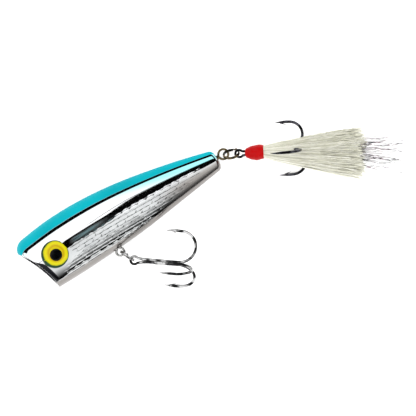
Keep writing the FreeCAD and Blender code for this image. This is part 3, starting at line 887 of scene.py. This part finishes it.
def strand_tree(name, material, flat):
    """Geometry Nodes that lay out a bundle of strands along X and give them their section."""
    tree = bpy.data.node_groups.new(name, "GeometryNodeTree")
    tree.interface.new_socket("Geometry", in_out="OUTPUT", socket_type="NodeSocketGeometry")
    sizes = {}
    for label, kind in STRAND_SIZES.items():
        socket = tree.interface.new_socket(label, in_out="INPUT", socket_type="NodeSocket" + kind)
        sizes[label] = socket.identifier
    inside = tree.nodes.new("NodeGroupInput").outputs
    points = add(tree, "GeometryNodePoints", {"Count": inside["Strands"]}).outputs[0]
    line = add(tree, "GeometryNodeCurvePrimitiveLine", {"End": (1.0, 0.0, 0.0)}).outputs[0]
    fine = add(tree, "GeometryNodeResampleCurve", {"Curve": line, "Count": 26 if flat else 9}).outputs[0]
    kept = add(tree, "GeometryNodeInstanceOnPoints", {"Points": points, "Instance": fine}).outputs[0]

    def draw(number, low, high):
        """A random value for each strand."""
        seed = reckon(tree, "ADD", inside["Seed"], float(number))
        index = add(tree, "GeometryNodeInputIndex").outputs[0]
        return add(tree, "FunctionNodeRandomValue", {"Min": low, "Max": high, "ID": index, "Seed": seed},
                   data_type="FLOAT").outputs[1]

    # each strand's own place in the bundle, even over the oval
    turn = draw(1, 0.0, 2 * math.pi)
    radius = reckon(tree, "POWER", draw(2, 0.0, 1.0), 0.5)
    across = reckon(tree, "MULTIPLY", reckon(tree, "COSINE", turn), radius)
    upward = reckon(tree, "MULTIPLY", reckon(tree, "SINE", turn), radius)
    spot = combined(tree, 0.0, across, upward)
    # neighbours end together in clumps, and a few strands are much shorter
    shorter = reckon(tree, "POWER", draw(3, 0.0, 1.0), 2.2)
    less = reckon(tree, "MULTIPLY", shorter, inside["Uneven"])
    longest = mapped(tree, noise(tree, spot, 3.2), 0.35, 0.65, 0.91, 1.0, "LINEAR")
    reach = reckon(tree, "SUBTRACT", longest, less)
    wild = combined(tree, 0.0, draw(4, -1.0, 1.0), draw(5, -1.0, 1.0))
    for label, kind, value in (("spot", "FLOAT_VECTOR", spot), ("reach", "FLOAT", reach),
                               ("wild", "FLOAT_VECTOR", wild), ("phase", "FLOAT", draw(6, 0.0, 40.0)),
                               ("shade", "FLOAT", draw(7, 0.0, 0.8))):
        kept = add(tree, "GeometryNodeStoreNamedAttribute", {"Geometry": kept, "Name": label,
                   "Value": value}, data_type=kind, domain="INSTANCE").outputs[0]
    curves = add(tree, "GeometryNodeRealizeInstances", {0: kept}).outputs[0]

    def recall(label, kind="FLOAT"):
        """A value stored for the strand."""
        return add(tree, "GeometryNodeInputNamedAttribute", {"Name": label}, data_type=kind).outputs[0]

    # where along the strand, from 0 at the thread to 1 at the tip
    share = add(tree, "GeometryNodeSplineParameter").outputs[0]
    run = reckon(tree, "MULTIPLY", share, recall("reach"))
    swell = reckon(tree, "POWER", run, 0.85)
    oval = add(tree, "ShaderNodeMix", {"Factor": swell, 4: inside["Root"], 5: inside["Tip"]},
               data_type="VECTOR").outputs[1]
    lateral = reckon_vector(tree, "MULTIPLY", recall("spot", "FLOAT_VECTOR"), oval)
    # an even sway, a few strays, a crimp that folds the flash, and a droop
    sway = add(tree, "ShaderNodeTexNoise", {"W": reckon(tree, "MULTIPLY_ADD", run, 6.0, recall("phase")),
               "Scale": 1.0, "Detail": 1.0}, noise_dimensions="1D").outputs["Color"]
    centred = reckon_vector(tree, "SUBTRACT", sway, (0.5, 0.5, 0.5))
    swayed = scaled(tree, centred, reckon(tree, "MULTIPLY", run, inside["Wave"]))
    square = reckon(tree, "POWER", run, 2.0)
    strayed = reckon(tree, "MULTIPLY", square, inside["Spread"])
    stray = scaled(tree, recall("wild", "FLOAT_VECTOR"), strayed)
    fold = reckon(tree, "PINGPONG", reckon(tree, "MULTIPLY_ADD", run, 95.0, recall("phase")), 1.0)
    fold_size = reckon(tree, "MULTIPLY", fold, inside["Crimp"])
    crimp = combined(tree, 0.0, fold_size, fold_size)
    droop = scaled(tree, inside["Droop"], square)
    total = combined(tree, reckon(tree, "MULTIPLY", run, inside["Length"]))
    for more in (lateral, swayed, stray, crimp, droop):
        total = reckon_vector(tree, "ADD", total, more)
    placed = add(tree, "GeometryNodeSetPosition", {"Geometry": curves, "Position": total}).outputs[0]
    if flat:
        profile = add(tree, "GeometryNodeCurvePrimitiveQuadrilateral", {"Width": inside["Width"],
                      "Height": FLASH_THICK})
        twist = reckon(tree, "MULTIPLY_ADD", run, 14.0, recall("phase"))
        drawn = add(tree, "GeometryNodeSetCurveTilt", {"Curve": placed, "Tilt": twist}).outputs[0]
    else:
        profile = add(tree, "GeometryNodeCurvePrimitiveCircle", {"Resolution": 3,
                      "Radius": inside["Width"]})
        tapering = mapped(tree, share, 0.55, 1.0, 1.0, 0.45, "LINEAR")
        drawn = add(tree, "GeometryNodeSetCurveRadius", {"Curve": placed, "Radius": tapering}).outputs[0]
    swept = add(tree, "GeometryNodeCurveToMesh", {"Curve": drawn, "Profile Curve": profile.outputs[0],
                "Fill Caps": True}).outputs[0]
    real = add(tree, "GeometryNodeRealizeInstances", {0: swept}).outputs[0]
    dressed = add(tree, "GeometryNodeSetMaterial", {"Geometry": real, "Material": material}).outputs[0]
    tree.links.new(dressed, tree.nodes.new("NodeGroupOutput").inputs[0])
    return tree, sizes


def strands(name, node, material, slot, flat, **values):
    """Runs the strand tree with these sizes and keeps the result as a plain mesh."""
    tree, sizes = strand_tree(name + "_layout", material, flat)
    draft = bpy.data.objects.new(name + "_draft", bpy.data.meshes.new(name + "_draft"))
    bpy.context.scene.collection.objects.link(draft)
    modifier = draft.modifiers.new("strands", "NODES")
    modifier.node_group = tree
    for label, value in values.items():
        modifier[sizes[label]] = value
    draft.data.update()
    evaluated = draft.evaluated_get(bpy.context.evaluated_depsgraph_get())
    mesh = bpy.data.meshes.new_from_object(evaluated)
    draft.modifiers.remove(modifier)
    bpy.data.objects.remove(draft)
    mesh.name = name
    mesh.transform(placing_along(HAIR_START, HAIR_ALONG))
    finish_piece(name, mesh, "tail_hook", material, [node], laid=False)


def placing_along(at, along):
    """X along the strands, Y level and Z up, at the place where they start."""
    across = UP.cross(along).normalized()
    upward = along.cross(across)
    turn = Matrix((along, across, upward)).transposed().to_4x4()
    return Matrix.Translation(at) @ turn


HAIR_START = TAIL_EYE + TAIL_SHANK * (WRAP[-1][0] - 0.5)
HAIR_ALONG = flat_direction(HAIR_DIRECTION, HAIR_RISE)
strands("bucktail_skirt", "hair_skirt", HAIR, "white_hair", False,
        Strands=2700, Seed=11, Length=HAIR_LENGTH + HAIR_OVER, Uneven=0.28,
        Root=(0.0, HAIR_ROOT[0] * 0.92, HAIR_ROOT[1] * 0.92),
        Tip=(0.0, HAIR_END[0] * 1.02, HAIR_END[1] * 0.9),
        Wave=1.5, Crimp=0.0, Droop=(0.0, 0.0, 0.0), Width=0.07, Spread=0.75)
strands("pearl_flash", "flash_strands", TINSEL, "pearl_tinsel", True,
        Strands=60, Seed=23, Length=HAIR_LENGTH + FLASH_LENGTH + FLASH_OVER, Uneven=0.20,
        Root=(0.0, 1.0, 1.0), Tip=(0.0, 5.8, 1.2),
        Wave=2.0, Crimp=0.16, Droop=(0.0, FLASH_TURN / 6, -1.6), Width=0.14, Spread=1.2)


# ---------------------------------------------------------------- hidden pieces keep their CAD shape
for node in ("tail_weight", "rattle_ball_1", "rattle_ball_2", "rattle_ball_3"):
    for slot_of_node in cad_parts[node].material_slots:
        slot_of_node.material = STEEL


# ---------------------------------------------------------------- table, light and camera
TENT_LIGHT, EVEN_LIGHT = 2.0, 2.1        # brightness that mirror and matt finishes get
LENS, SENSOR, VIEW_WIDTH = 300.0, 36.0, 119.7
AIM_FROM_LURE, AIM_HEIGHT, VIEW_TURN = Vector((50.6, -10.25, 0)), 6.0, math.radians(-31)


def table():
    """A plain white board."""
    half = 1.5
    mesh = bpy.data.meshes.new("table_board")
    mesh.from_pydata([(-half, -half, 0), (half, -half, 0), (half, half, 0), (-half, half, 0)], [],
                     [(0, 1, 2, 3)])
    mesh.materials.append(white_table())
    board = bpy.data.objects.new("table_board", mesh)
    bpy.context.scene.collection.objects.link(board)


def studio():
    """A white tent over the lure, with a dark opening above it and dark below its lower edge.

    Only the mirror finishes see these bands; the matt ones and the table are lit evenly.
    """
    world = bpy.data.worlds.new("studio_tent")
    world.use_nodes = True
    tree = world.node_tree
    tree.nodes.clear()
    looking = add(tree, "ShaderNodeTexCoord").outputs["Generated"]
    x, y, z = add(tree, "ShaderNodeSeparateXYZ", {0: looking}).outputs
    steep = reckon(tree, "ARCCOSINE", z)
    level = add(tree, "ShaderNodeVectorMath", {0: combined(tree, x, y)}, operation="LENGTH").outputs["Value"]
    backward = reckon(tree, "DIVIDE", y, level)
    # the tent ends sharply on the back's side and fades out slowly on the belly's
    starts = mapped(tree, backward, -0.9, 0.0, math.radians(44), math.radians(55.6), "LINEAR")
    ends = mapped(tree, backward, -0.9, 0.0, math.radians(82), math.radians(57.4), "LINEAR")
    # it hangs lower in front of the nose
    noseward = reckon(tree, "DIVIDE", x, level)
    lower = mapped(tree, noseward, -0.75, -0.5, math.radians(26), 0.0)
    starts = reckon(tree, "ADD", starts, lower)
    ends = reckon(tree, "ADD", ends, lower)
    tent = reckon(tree, "POWER", mapped(tree, steep, starts, ends, 1.0, 0.0, "LINEAR"), 1.7)
    # the opening lies along the lure and widens tailward
    slant = reckon(tree, "ARCTAN2", y, z)
    opens = mapped(tree, x, 0.04, 0.18, 0.0, math.radians(10.0))
    widens = mapped(tree, x, 0.33, 0.375, 0.0, math.radians(5.5))
    half = reckon(tree, "ADD", opens, widens)
    middle = mapped(tree, x, 0.33, 0.375, math.radians(2.6), math.radians(6.5))
    off = reckon(tree, "ABSOLUTE", reckon(tree, "SUBTRACT", slant, middle))
    lit = mapped(tree, reckon(tree, "SUBTRACT", off, half), 0.0, math.radians(1.4))
    # something pale hangs in the opening, and a seam of the tent runs beside it
    patch_start = mapped(tree, x, 0.20, 0.24)
    patch_end = mapped(tree, x, 0.31, 0.34, 1.0, 0.0)
    patch_side = mapped(tree, off, math.radians(3.0), math.radians(7.5), 1.0, 0.0)
    patch = reckon(tree, "MULTIPLY", reckon(tree, "MULTIPLY", patch_start, patch_end), patch_side)
    seam_at = mapped(tree, x, 0.31, 0.36, math.radians(17.7), math.radians(24.0), "LINEAR")
    seam = reckon(tree, "ABSOLUTE", reckon(tree, "SUBTRACT", slant, seam_at))
    seam = mapped(tree, seam, math.radians(0.4), math.radians(1.2))
    seam = reckon(tree, "MAXIMUM", seam, mapped(tree, x, 0.28, 0.31, 1.0, 0.0))
    bright = tent
    for share in (lit, seam, TENT_LIGHT):
        bright = reckon(tree, "MULTIPLY", bright, share)
    long_way = add(tree, "ShaderNodeMapping", {0: looking, "Scale": (12.0, 42.0, 1.0)}).outputs[0]
    patch_light = mapped(tree, noise(tree, long_way, 1.0, 3.0), 0.38, 0.62, 0.10, 0.62)
    shown = between(tree, patch, bright, patch_light)
    mirrored = add(tree, "ShaderNodeLightPath").outputs["Is Glossy Ray"]
    tint = blend(tree, reckon(tree, "MULTIPLY", patch, mirrored), linear("#FFFFFF"), linear("#A9CDD2"))
    light = add(tree, "ShaderNodeBackground", {"Color": tint,
                "Strength": between(tree, mirrored, EVEN_LIGHT, shown)})
    add(tree, "ShaderNodeOutputWorld", {"Surface": light.outputs[0]})
    bpy.context.scene.world = world


def camera():
    """Straight above the lure, which lies nose down to the left."""
    aim = LURE_AT + AIM_FROM_LURE
    data = bpy.data.cameras.new("camera")
    data.lens, data.sensor_width = LENS, SENSOR
    data.clip_start = 0.01
    eye = bpy.data.objects.new("camera", data)
    eye.location = (aim.x * MM, aim.y * MM, (AIM_HEIGHT + VIEW_WIDTH * LENS / SENSOR) * MM)
    eye.rotation_euler = (0, 0, VIEW_TURN)
    bpy.context.scene.collection.objects.link(eye)
    bpy.context.scene.camera = eye


table()
studio()
camera()
